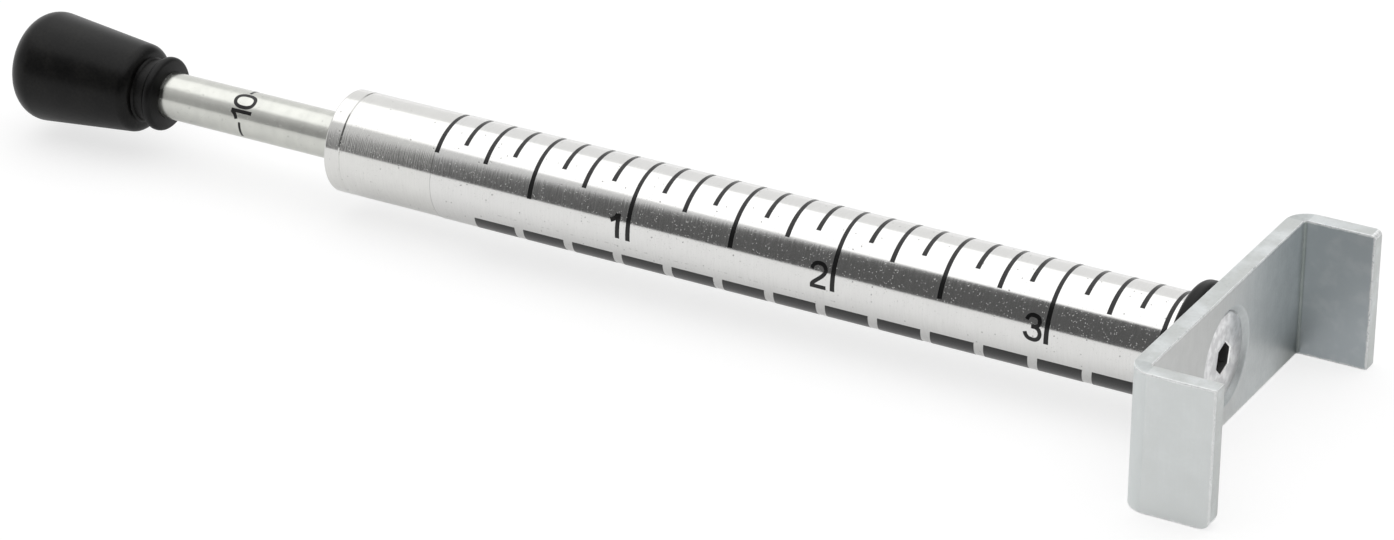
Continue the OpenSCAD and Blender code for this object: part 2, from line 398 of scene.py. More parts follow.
    def _between_legs(self, s: Surface, cloud: Wire, colour: Wire) -> Wire:
        """Colours the faces between the legs with painted shade, lighter by one leg and deeper by
        the other.

        Args:
            s: The material's graph.
            cloud: Wide blotches.
            colour: The plate's colour elsewhere.

        Returns:
            The colour.
        """
        x, y, z = s.axes
        between = abs(y).step(self.inner_y + 0.25, self.inner_y + 0.05)
        # The deeper painted shade, greener on the plate and bluer on the far leg, with paler
        # clouds.
        far_shade = s.mix(x.step(0.15, 0.45), self.shaded_greenish, self.shaded)
        far_shade = s.mix(cloud.step(0.45, 0.70) * 0.35, far_shade, self.dull)
        # Painted shade between the legs, lighter by the near leg and deeper by the far leg.
        colour = s.mix(x.step(-0.01, 0.04) * between, colour,
                       s.mix(y.step(1.0, 19.0), self.painted_inner_shade, far_shade))
        # The near side of the plate's inner face takes the lighter painted shade.
        seat_face = x.step(-0.02, -0.004) * x.step(0.30, 0.10) * between
        colour = s.mix(seat_face * y.step(8.0, -4.0) * 0.6, colour, self.painted_inner_shade)
        # Painted shadow low in the plate's far corner.
        low_corner_shade = seat_face * z.step(-1.0, -9.0) * y.step(11.0, 19.0)
        return s.mix(low_corner_shade, colour, self.darkest_shade)


@dataclass(frozen=True)
class ZincScrew:
    """Zinc on a screw's head, scuffed by the key, with a painted highlight on the socket's burred
    rim and painted shade inside the socket.
    """

    name: str = "zinc_screw"
    bright: Colour = (0.89, 0.89, 0.895)
    dull: Colour = (0.67, 0.67, 0.675)
    # A painted highlight: the burred rim of the key socket is near white, and the chips share that
    # colour.
    burr_highlight: Colour = (0.97, 0.97, 0.96)
    # Painted shade inside the key socket.
    socket_shade: Colour = (0.105, 0.105, 0.105)
    hex_half: float = 1.55
    hex_turn: float = 17.5
    top_x: float = -0.35

    def material(self) -> bpy.types.Material:
        """Builds the material.

        Returns:
            The material.
        """
        s = Surface(self.name)
        x, y, z = s.axes
        scuffs = s.noise(0.9, 3.0).step(0.40, 0.64)
        nicks = s.specks(1.1, 0.26, 0.30)
        ways = [math.radians(self.hex_turn + 30.0 + 60.0 * k) for k in range(3)]
        flats = [abs(y * math.cos(a) + z * math.sin(a)) for a in ways]
        across = flats[0].most(flats[1]).most(flats[2])
        top = x.step(self.top_x - 0.25, self.top_x - 0.15)
        # Painted highlight along the socket's burred rim.
        burr_highlight = across.step(self.hex_half + 0.17, self.hex_half + 0.11) * top
        burr_highlight = burr_highlight * s.noise(1.2, 2.0).step(0.30, 0.45)
        chips = s.specks(1.15, 0.26, 0.14) * top * (1.0 - burr_highlight)
        # Painted shade inside the key socket, below its chamfer.
        inside = across.step(self.hex_half + 0.02, self.hex_half - 0.01)
        inside = inside * x.step(self.top_x - 0.14, self.top_x - 0.20)
        # The burred rim and the chips take the near white, which on the rim is a painted highlight.
        colour = s.mix(burr_highlight.most(chips), s.mix(scuffs, self.dull, self.bright), self.burr_highlight)
        colour = s.mix(inside, colour, self.socket_shade)
        roughness = 0.36 - scuffs * 0.08 - burr_highlight * 0.16 + chips * 0.2 + inside * 0.20
        height = s.noise(0.9, 3.0) * 0.022 - nicks * 0.025
        return s.finish(colour, roughness, height, Metallic=1.0 - chips * (1.0 - inside) * 0.9)


@dataclass(frozen=True)
class TurnedMetal:
    """Metal turned on a lathe, with fine grain round the axis and a few pits."""

    name: str
    bright: Colour
    dull: Colour
    roughness: float
    grain: float
    rings: float = 9.0
    pits: float = 0.16
    scored: bool = False
    pit: Colour = (0.30, 0.30, 0.29)
    pit_depth: float = 0.012
    scratch_start: float = -86.5
    scratch_end: float = -42.0
    scratch_angle: float = -18.0
    seam_x: float = -94.35

    def material(self) -> bpy.types.Material:
        """Builds the material.

        Returns:
            The material.
        """
        s = Surface(self.name)
        grain = s.noise(1.0, 2.0, s.stretched(self.rings, 0.35, 0.35))
        cloud = s.noise(0.35, 3.0)
        pits = s.specks(5.0, 0.24, self.pits * 1.5)
        dots = s.specks(1.3, 0.15, self.pits * 2.2)
        height = grain * self.grain - pits * self.pit_depth - dots * self.pit_depth
        if self.scored:
            line = self._scratch(s)
            seam = s.axes[0].step(self.seam_x + 0.05, self.seam_x)
            height = height - line * self.pit_depth
            dots = dots.most(line * 0.45).most(seam * 0.9)
        tone = (grain * 0.6 + cloud * 0.4).step(0.35, 0.65)
        colour = s.mix(dots * 0.7, s.mix(tone, self.dull, self.bright), self.pit)
        roughness = self.roughness + (grain - 0.5) * 0.10 + pits * 0.15
        return s.finish(colour, roughness, height, Metallic=1.0)

    def _scratch(self, s: Surface) -> Wire:
        """Draws the long broken scratch that wanders along the label.

        Args:
            s: The material's graph.

        Returns:
            1 in the scratch and 0 elsewhere.
        """
        x, y, z = s.axes
        wander = s.noise(0.12, 1.0) * 6.0 + self.scratch_angle
        line = abs(z.angle_to(y * -1.0) - wander).step(0.9, 0.3)
        line = line * x.step(self.scratch_start, self.scratch_start + 1.0)
        line = line * x.step(self.scratch_end, self.scratch_end - 2.0)
        return line * s.noise(1.0, 3.0, s.stretched(1.6, 0.0, 0.0)).step(0.50, 0.56)


@dataclass(frozen=True)
class DarkFinish:
    """Ink, rubber or black moulding: nearly black, with fine texture."""

    name: str
    colour: Colour
    light: Colour
    roughness: float
    texture: float
    scale: float
    specular: float

    def material(self) -> bpy.types.Material:
        """Builds the material.

        Returns:
            The material.
        """
        s = Surface(self.name)
        skin = s.noise(self.scale, 3.0)
        cloud = s.noise(0.3, 3.0)
        dust = s.specks(1.6, 0.12, 0.2)
        tone = (skin * 0.4 + cloud * 0.6).step(0.4, 0.75)
        colour = s.mix(tone * 0.8 + dust * 0.5, self.colour, self.light)
        roughness = self.roughness + (cloud - 0.5) * 0.12
        return s.finish(colour, roughness, skin * self.texture, Specular_IOR_Level=self.specular)


@cache
def made_once(look: Any) -> bpy.types.Material:
    """The material of a finish, built the first time that it is asked for."""
    return look.material()


class Finish(Enum):
    """The finishes, each with the record's slot that it belongs to."""

    CRADLE = ("zinc_plate", ZincPlate())
    SCREW = ("zinc_screw", ZincScrew())
    TURNED = ("turned_aluminium", TurnedMetal(
        "turned_aluminium", (0.76, 0.757, 0.737), (0.72, 0.717, 0.698), 0.12, 0.0045))
    FOIL = ("printed_foil", TurnedMetal(
        "printed_foil", (0.765, 0.762, 0.75), (0.735, 0.732, 0.72), 0.12, 0.0028, 5.0, 0.2, True))
    ROD = ("plated_rod", TurnedMetal(
        "plated_rod", (0.655, 0.66, 0.62), (0.60, 0.605, 0.57), 0.22, 0.0006, 0.7, 0.14))
    BRONZE = ("bronze_bush", TurnedMetal(
        "bronze_bush", (0.80, 0.60, 0.36), (0.66, 0.46, 0.26), 0.30, 0.001))
    WIRE = ("spring_wire", TurnedMetal(
        "spring_wire", (0.60, 0.60, 0.61), (0.48, 0.48, 0.50), 0.32, 0.0008, 2.0))
    INK = ("printed_foil", DarkFinish(
        "black_ink", (0.003, 0.003, 0.003), (0.007, 0.007, 0.007), 0.24, 0.0002, 6.0, 0.42))
    RUBBER = ("black_rubber", DarkFinish(
        "black_rubber", (0.002, 0.002, 0.002), (0.007, 0.007, 0.0068), 0.40, 0.004, 4.0, 0.22))
    KNOB = ("black_knob", DarkFinish(
        "black_moulding", (0.0015, 0.0015, 0.0015), (0.011, 0.0105, 0.0095),
        0.34, 0.004, 3.0, 0.20))

    def dress(self, *pieces: bpy.types.Object) -> None:
        """Gives pieces this finish.

        Args:
            pieces: The pieces.
        """
        slot, look = self.value
        material = made_once(look)
        for piece in pieces:
            piece.data.materials.clear()
            piece.data.materials.append(material)
            "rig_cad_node" not in piece


# Meshes

class Corner(NamedTuple):
    """A corner of an outline, with the radius that rounds it."""

    x: float
    y: float
    radius: float = 0.0


def rounded(corners: Sequence[Corner], steps: int = 5) -> list[Point2]:
    """Rounds the corners of a closed outline.

    Args:
        corners: The corners in order.
        steps: Straight pieces in each rounding.

    Returns:
        The outline's points.
    """
    points: list[Point2] = []
    for k, corner in enumerate(corners):
        here = Vector((corner.x, corner.y))
        if corner.radius <= 0.0:
            points.append(tuple(here))
            continue
        after = corners[(k + 1) % len(corners)]
        back = (Vector((corners[k - 1].x, corners[k - 1].y)) - here).normalized()
        ahead = (Vector((after.x, after.y)) - here).normalized()
        half = back.angle(ahead) / 2.0
        centre = here + (back + ahead).normalized() * corner.radius / math.sin(half)
        start = here + back * corner.radius / math.tan(half) - centre
        end = here + ahead * corner.radius / math.tan(half) - centre
        sweep = start.angle_signed(end)
        for n in range(steps + 1):
            turn = -sweep * n / steps
            c, s = math.cos(turn), math.sin(turn)
            points.append((centre.x + c * start.x - s * start.y,
                           centre.y + s * start.x + c * start.y))
    return points


def on_barrel(x: float, r: float, degrees: float) -> Point3:
    """The point at a place along the axis, a radius, and an angle round the barrel."""
    a = math.radians(degrees)
    return (x, -r * math.cos(a), r * math.sin(a))


def circle(x: float, r: float, sides: int) -> list[Point3]:
    """A ring of points about the barrel's axis, and a single point where the radius is 0."""
    return [on_barrel(x, r, 360.0 * n / sides) for n in range(sides)] if r else [(x, 0.0, 0.0)]


class Solid:
    """A closed mesh under construction, in millimetres."""

    def __init__(self) -> None:
        """Starts empty."""
        self.points: list[Point3] = []
        self.faces: list[list[int]] = []

    def skin(self, rings: Sequence[Sequence[Point3]], loop: bool = False) -> None:
        """Joins a row of rings with faces.

        Args:
            rings: Rings with the same number of points; a ring of one point closes to a tip.
            loop: Whether the last ring joins the first. Otherwise the two ends are closed.
        """
        firsts = []
        for ring in rings:
            firsts.append(len(self.points))
            self.points.extend(ring)
        pairs = list(zip(range(len(rings)), range(1, len(rings))))
        if loop:
            pairs.append((len(rings) - 1, 0))
        for a, b in pairs:
            self._join(firsts[a], len(rings[a]), firsts[b], len(rings[b]))
        if not loop:
            for k in (0, -1):
                if len(rings[k]) > 2:
                    self.faces.append([firsts[k] + n for n in range(len(rings[k]))])

    def _join(self, a: int, count_a: int, b: int, count_b: int) -> None:
        """Adds the faces between two rings.

        Args:
            a: Number of the first ring's first point.
            count_a: Points in the first ring.
            b: Number of the second ring's first point.
            count_b: Points in the second ring.
        """
        count = max(count_a, count_b)
        for n in range(count):
            m = (n + 1) % count
            if count_a == 1:
                self.faces.append([a, b + m, b + n])
            elif count_b == 1:
                self.faces.append([a + n, a + m, b])
            else:
                self.faces.append([a + n, a + m, b + m, b + n])

    def piece(self, name: str, smooth: float = 32.0) -> bpy.types.Object:
        """Makes the object.

        Args:
            name: The piece's name.
            smooth: Edges that bend more than this many degrees stay sharp.

        Returns:
            The object, in metres.
        """
        mesh = bpy.data.meshes.new(name)
        mesh.from_pydata([Vector(p) * MM for p in self.points], [], self.faces)
        form = bmesh.new()
        form.from_mesh(mesh)
        bmesh.ops.recalc_face_normals(form, faces=form.faces)
        form.to_mesh(mesh)
        form.free()
        mesh.shade_smooth()
        mesh.set_sharp_from_angle(angle=math.radians(smooth))
        made = bpy.data.objects.new(name, mesh)
        bpy.context.scene.collection.objects.link(made)
        return made


def turned(name: str, outline: Sequence[Point2], sides: int, smooth: float,
           loop: bool = True) -> bpy.types.Object:
    """Makes a piece by turning an outline about the barrel's axis.

    Args:
        name: The piece's name.
        outline: Points as place along the axis and radius.
        sides: Steps round the axis.
        smooth: Edges that bend more than this many degrees stay sharp.
        loop: Whether the outline is closed. An open one starts and ends on the axis.

    Returns:
        The object.
    """
    body = Solid()
    body.skin([circle(x, r, sides) for x, r in outline], loop)
    return body.piece(name, smooth)


def settle(piece: bpy.types.Object, *helpers: bpy.types.Object) -> None:
    """Applies a piece's modifiers, and deletes the helpers that they used.

    Args:
        piece: The piece.
        helpers: Shapes that its modifiers refer to.
    """
    graph = bpy.context.evaluated_depsgraph_get()
    mesh = bpy.data.meshes.new_from_object(piece.evaluated_get(graph), depsgraph=graph)
    old = piece.data
    piece.modifiers.clear()
    piece.data = mesh
    bpy.data.meshes.remove(old)
    for helper in helpers:
        bpy.data.objects.remove(helper)


def cut(piece: bpy.types.Object, tool: bpy.types.Object) -> None:
    """Adds a modifier that takes a tool's shape off a piece.

    Args:
        piece: The piece.
        tool: The shape that comes off.
    """
    modifier = piece.modifiers.new(tool.name, "BOOLEAN")
    modifier.operation = "DIFFERENCE"
    modifier.solver = "EXACT"
    modifier.object = tool


def place(piece: bpy.types.Object, finish: Finish, body: str, *nodes: str) -> None:
    """Dresses a piece, puts it on its body, and reports it.

    Args:
        piece: The piece.
        finish: Its finish.
        body: The body that carries it.
        nodes: The frame's nodes that it stands for.
    """
    finish.dress(piece)
    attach(piece, body)
    if nodes:
        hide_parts(*nodes)
    LOG.info("%s rides on %s, %d faces", piece.name, body, len(piece.data.polygons))


# The gauge's sub-assemblies

@dataclass
class Cradle:
    """The bent strip over the belt, and the screw that holds it on the barrel."""

    channel: float = 38.7
    thickness: float = 2.0
    height: float = 16.0
    reach: float = 8.1
    bend: float = 0.3
    outer_bend: float = 2.8
    tip_corner: float = 1.3
    far_corner: float = 0.7
    edge: float = 0.18
    edge_steps: int = 3
    edge_angle: float = 38.0
    seat_r: float = 5.67
    hole_r: float = 2.52
    head_r: float = 5.0
    head_round: float = 0.3
    land: float = 0.3
    recess: float = 0.35
    shank_r: float = 2.5
    length: float = 12.0
    plain: float = 0.6
    runout: float = 0.2
    pitch: float = 0.8
    thread_depth: float = 0.42
    core_r: float = 2.05
    tip_chamfer: float = 0.3
    hex_width: float = 3.1
    hex_depth: float = 2.2
    hex_cone: float = 0.45
    hex_turn: float = 17.5
    hex_chamfer: float = 0.12
    sides: int = 144

    def strip(self) -> bpy.types.Object:
        """Makes the bent strip with its countersunk hole and deburred edges.

        Returns:
            The strip.
        """
        side = self.channel / 2.0
        out = side + self.thickness
        outline = rounded([
            Corner(self.reach, -out), Corner(self.reach, -side),
            Corner(0.0, -side, self.bend), Corner(0.0, side, self.bend),
            Corner(self.reach, side), Corner(self.reach, out),
            Corner(-self.thickness, out, self.outer_bend),
            Corner(-self.thickness, -out, self.outer_bend)], steps=10)
        half = self.height / 2.0
        body = Solid()
        body.skin([[(x, y, z) for x, y in outline] for z in (-half, half)])
        piece = body.piece("bent_cradle")
        tools = (self._countersink(), self._corner(self.tip_corner, -1.0),
                 self._corner(self.far_corner, 1.0))
        for tool in tools:
            cut(piece, tool)
        bevel = piece.modifiers.new("deburring", "BEVEL")
        bevel.width = self.edge * MM
        bevel.segments = self.edge_steps
        bevel.limit_method = "ANGLE"
        bevel.angle_limit = math.radians(self.edge_angle)
        bevel.use_clamp_overlap = False
        bevel.harden_normals = True
        settle(piece, *tools)
        return piece

    def _countersink(self) -> bpy.types.Object:
        """Makes the shape that the hole and its cone take off.

        Returns:
            The tool.
        """
        spare = 0.5
        back = -self.thickness - spare
        outline = [(back, 0.0), (back, self.hole_r), (self.hole_r - self.seat_r, self.hole_r),
                   (spare, self.seat_r + spare), (spare, 0.0)]
        return turned("countersink_tool", outline, sides=96, smooth=32.0, loop=False)

    def _corner(self, r: float, side: float) -> bpy.types.Object:
        """Makes the shape that a rounded tip corner takes off a leg.

        Args:
            r: Radius of the corner.
            side: -1 for the near leg's lower corner, 1 for the far leg's upper corner.

        Returns:
            The tool.
        """
        spare, steps = 0.6, 10
        x, z = self.reach - r, r - self.height / 2.0
        arc = []
        for n in range(steps + 1):
            a = math.radians(90.0 * n / steps)
            arc.append((x + r * math.sin(a), z - r * math.cos(a)))
        arc += [(self.reach + spare, z), (self.reach + spare, z - r - spare), (x, z - r - spare)]
        inner, outer = self.channel / 2.0 - spare, self.channel / 2.0 + self.thickness + spare
        tool = Solid()
        tool.skin([[(px, side * y, -side * pz) for px, pz in arc] for y in (inner, outer)])
        return tool.piece("corner_tool")

    def _hexagon(self, x: float, apothem: float) -> list[Point3]:
        """A ring of points on a hexagon about the axis, turned as the key socket is.

        Args:
            x: Place along the axis.
            apothem: Half the width across the flats.

        Returns:
            The ring.
        """
        ring = []
        for n in range(self.sides):
            around = 360.0 * n / self.sides
            r = apothem / math.cos(math.radians((around + self.hex_turn) % 60.0 - 30.0))
            ring.append(on_barrel(x, r, around))
        return ring

    def _thread(self, start: float, end: float) -> list[list[Point3]]:
        """The rings of the thread, which has a whole number of turns.

        Args:
            start: Where it starts along the axis.
            end: Where it has to be over.

        Returns:
            The rings.
        """
        steps = 6
        rings = []
        for n in range(int((start - end) / self.pitch) * steps):
            ring = []
            for k in range(self.sides):
                phase = (n / steps - k / self.sides) % 1.0
                r = self.shank_r - self.thread_depth * abs(2.0 * phase - 1.0)
                ring.append(on_barrel(start - n * self.pitch / steps, r, 360.0 * k / self.sides))
            rings.append(ring)
        return rings

    def screw(self) -> bpy.types.Object:
        """Makes the countersunk screw with its key socket and thread.

        Returns:
            The screw.
        """
        top = -self.recess
        floor = top - self.hex_depth
        flat = self.hex_width / 2.0
        cone_top = top - self.land
        neck = cone_top - (self.head_r - self.shank_r)
        tip = top - self.length
        socket = [circle(floor - self.hex_cone, 0.0, self.sides), self._hexagon(floor, flat),
                  self._hexagon(top - self.hex_chamfer, flat),
                  self._hexagon(top, flat + self.hex_chamfer)]
        head = [(top, self.head_r - self.head_round),
                (top - 0.3 * self.head_round, self.head_r - 0.3 * self.head_round),
                (top - 0.8 * self.head_round, self.head_r), (cone_top, self.head_r),
                (neck, self.shank_r), (neck - self.plain, self.shank_r)]
        thread = self._thread(neck - self.plain - self.runout, tip + self.plain)
        end = [(tip + self.tip_chamfer, self.core_r), (tip, self.core_r - self.tip_chamfer),
               (tip, 0.0)]
        body = Solid()
        body.skin(socket + [circle(x, r, self.sides) for x, r in head] + thread
                  + [circle(x, r, self.sides) for x, r in end])
        return body.piece("socket_screw")

    def build(self) -> None:
        """Makes the cradle and its screw."""
        place(self.strip(), Finish.CRADLE, "barrel", "belt_cradle")
        place(self.screw(), Finish.SCREW, "barrel", "cradle_screw")


@dataclass
class Barrel:
    """The tube, its turned cap, and the pieces inside that stay as the frame has them."""

    outer_r: float = 5.95
    bore_r: float = 4.75
    near_x: float = -2.0
    far_x: float = -106.6
    chamfer: float = 0.12
    flange: float = 2.0
    flange_edge: float = 0.14
    edge_hold: float = 0.2
    hole_edge: float = 0.18
    spigot_r: float = 4.74
    spigot: float = 10.0
    spigot_edge: float = 0.2
    rod_hole_r: float = 3.05
    bush_seat_r: float = 3.79
    sides: int = 160

    def tube(self) -> bpy.types.Object:
        """Makes the tube.

        Returns:
            The tube.
        """
        r, c, hold = self.outer_r, self.chamfer, self.edge_hold
        outline = [(self.far_x, self.bore_r), (self.far_x, r - c), (self.far_x + c, r),
                   (self.far_x + hold, r), (self.near_x - hold, r), (self.near_x - c, r),
                   (self.near_x, r - c), (self.near_x, self.bore_r)]
        return turned("turned_tube", outline, self.sides, smooth=30.0)

    def cap(self) -> bpy.types.Object:
        """Makes the cap with its flange, spigot and stepped bore.

        Returns:
            The cap.
        """
        face, joint = self.far_x - self.flange, self.far_x
        r, c, hold = self.outer_r, self.chamfer, self.edge_hold
        outline = rounded([
            Corner(face, self.rod_hole_r, self.hole_edge), Corner(face, r, self.flange_edge),
            Corner(face + hold, r), Corner(joint - hold, r),
            Corner(joint - c, r), Corner(joint, r - c), Corner(joint, self.spigot_r),
            Corner(joint + self.spigot, self.spigot_r, self.spigot_edge),
            Corner(joint + self.spigot, self.bush_seat_r), Corner(joint, self.bush_seat_r),
            Corner(joint, self.rod_hole_r)])
        return turned("turned_cap", outline, self.sides, smooth=30.0)

    def build(self) -> None:
        """Makes the tube and the cap, and dresses the frame's own pieces inside."""
        place(self.tube(), Finish.TURNED, "barrel", "barrel_tube")
        place(self.cap(), Finish.TURNED, "barrel", "end_cap")
        nodes = frame["nodes"]
        Finish.TURNED.dress(nodes["end_plug"])
        Finish.BRONZE.dress(nodes["guide_bush"], nodes["spring_follower"])
        Finish.RUBBER.dress(nodes["return_bumper"])
        Finish.SCREW.dress(nodes["follower_screw"])


class TickEnd(Enum):
    """Angle at which a graduation of each rank ends, in degrees round the barrel."""

    EIGHTH = 56.0
    QUARTER = 41.0
    HALF = 16.0
    INCH = -4.5

    @classmethod
    def of(cls, number: int) -> "TickEnd":
        """Finds the rank of a graduation.

        Args:
            number: The graduation's place in eighths of an inch.

        Returns:
            Its rank. The zero tick is as short as a quarter.
        """
        if number == 0:
            return cls.QUARTER
        ranks = ((8, cls.INCH), (4, cls.HALF), (2, cls.QUARTER))
        return next((rank for every, rank in ranks if number % every == 0), cls.EIGHTH)


def smooth_path(points: Sequence[Point2], steps: int, loop: bool) -> list[Point2]:
    """Runs a smooth curve through points.

    Args:
        points: Points on the curve.
        steps: Pieces between two points.
        loop: Whether the curve closes.

    Returns:
        Points along the curve.
    """
    count = len(points)
    path: list[Point2] = []
    for k in range(count if loop else count - 1):
        p = [points[m % count if loop else min(max(m, 0), count - 1)] for m in range(k - 1, k + 3)]
        for n in range(steps):
            t = n / steps
            weights = (-0.5 * t + t * t - 0.5 * t ** 3, 1.0 - 2.5 * t * t + 1.5 * t ** 3,
                       0.5 * t + 2.0 * t * t - 1.5 * t ** 3, -0.5 * t * t + 0.5 * t ** 3)
            path.append(tuple(sum(w * q[axis] for w, q in zip(weights, p)) for axis in (0, 1)))
    if not loop:
        path.append(tuple(points[-1]))
    return path


class Stroke(NamedTuple):
    """A pen stroke of a numeral in a box of width 1 and height 1."""

    points: tuple[Point2, ...]
    curved: bool = True
    loop: bool = False


class Numeral(Enum):
    """The numerals on the scale and the rod."""

    ZERO = (Stroke(((0.50, 1.0), (0.80, 0.93), (0.97, 0.72), (1.0, 0.5), (0.97, 0.28),
                    (0.80, 0.07), (0.50, 0.0), (0.20, 0.07), (0.03, 0.28), (0.0, 0.5),
                    (0.03, 0.72), (0.20, 0.93)), True, True),)
    ONE = (Stroke(((0.0, 0.70), (0.36, 0.76), (0.70, 0.86), (0.92, 1.0))),
           Stroke(((1.0, 1.03), (1.0, -0.055)), False))
    TWO = (Stroke(((0.02, 0.72), (0.09, 0.88), (0.27, 0.98), (0.50, 1.0), (0.76, 0.96),
                   (0.93, 0.82), (0.92, 0.66), (0.76, 0.50), (0.46, 0.32), (0.18, 0.16),
                   (0.06, 0.04))),
           Stroke(((-0.04, 0.0), (1.02, 0.0)), False))
    THREE = (Stroke(((0.04, 0.77), (0.13, 0.91), (0.30, 0.99), (0.50, 1.0), (0.76, 0.95),
                     (0.89, 0.80), (0.84, 0.64), (0.66, 0.55), (0.38, 0.54))),
             Stroke(((0.42, 0.545), (0.70, 0.53), (0.90, 0.43), (0.98, 0.27), (0.90, 0.10),
                     (0.70, 0.01), (0.48, 0.0), (0.24, 0.04), (0.08, 0.14), (0.0, 0.27))))


@dataclass
class Print:
    """Thin raised print on a round piece."""

    radius: float
    rise: float = 0.016
    sink: float = 0.006
    reach: float = 0.35
    mitre: float = 0.6
    curve_steps: int = 5

    def line(self, solid: Solid, path: Sequence[Point2], width: float,
             loop: bool = False, swell: float = 0.0) -> None:
        """Adds a stroke.

        Args:
            solid: The mesh that takes it.
            path: Points as place along the axis and distance round the piece.
            width: Width of the stroke.
            loop: Whether the stroke closes.
            swell: Share of the width by which the stroke is wider where it starts.
        """
        points = self._spaced(path, loop)
        count = len(points)
        rings = []
        for k, point in enumerate(points):
            here = Vector(point)
            before = Vector(points[k - 1] if loop or k else points[0])
            after = Vector(points[(k + 1) % count] if loop or k + 1 < count else points[-1])
            back = (here - before).normalized() if here != before else None
            ahead = (after - here).normalized() if after != here else None
            way = ((back or ahead) + (ahead or back)).normalized()
            spread = max(self.mitre, way.dot(back or ahead))
            wider = 1.0 + swell * (1.0 - k / count)
            normal = Vector((-way.y, way.x)) * (width * wider / 2.0 / spread)
            rings.append(self._bar(here - normal, here + normal))
        solid.skin(rings, loop)

    def block(self, solid: Solid, low: Sequence[Point2], high: Sequence[Point2]) -> None:
        """Adds a filled block between two rows of matching points.

        Args:
            solid: The mesh that takes it.
            low: Points along one side.
            high: Points along the other side.
        """
        solid.skin([self._bar(Vector(a), Vector(b)) for a, b in zip(low, high)])

    def _bar(self, left: Vector, right: Vector) -> list[Point3]:
        """The section of the print between two points of the surface.

        Args:
            left: Place along the axis and distance round the piece of one side.
            right: The same of the other side.

        Returns:
            The section's four corners.
        """
        low, high = self.radius - self.sink, self.radius + self.rise
        return [on_barrel(side.x, r, side.y * math.degrees(1.0 / self.radius))
                for side, r in ((left, low), (left, high), (right, high), (right, low))]

    def _spaced(self, path: Sequence[Point2], loop: bool) -> list[Point2]:
        """Adds points to a path until no step is longer than the reach.

        Args:
            path: The path.
            loop: Whether it closes.

        Returns:
            The path with the added points.
        """
        ends = list(path) + ([path[0]] if loop else [])
        spaced: list[Point2] = []
        for a, b in zip(ends, ends[1:]):
            count = max(1, math.ceil(math.dist(a, b) / self.reach))
            spaced += [(a[0] + (b[0] - a[0]) * n / count, a[1] + (b[1] - a[1]) * n / count)
                       for n in range(count)]
        if not loop:
            spaced.append(tuple(ends[-1]))
        return spaced

    def numeral(self, solid: Solid, shape: Numeral, at: Callable[[float, float], Point2],
                width: float) -> None:
        """Adds a numeral.

        Args:
            solid: The mesh that takes it.
            shape: Which numeral.
            at: Takes a point of the numeral's box to the surface.
            width: Width of the pen.
        """
        for points, curved, loop in shape.value:
            path = smooth_path(points, self.curve_steps, loop) if curved else points
            self.line(solid, [at(u, v) for u, v in path], width, loop)


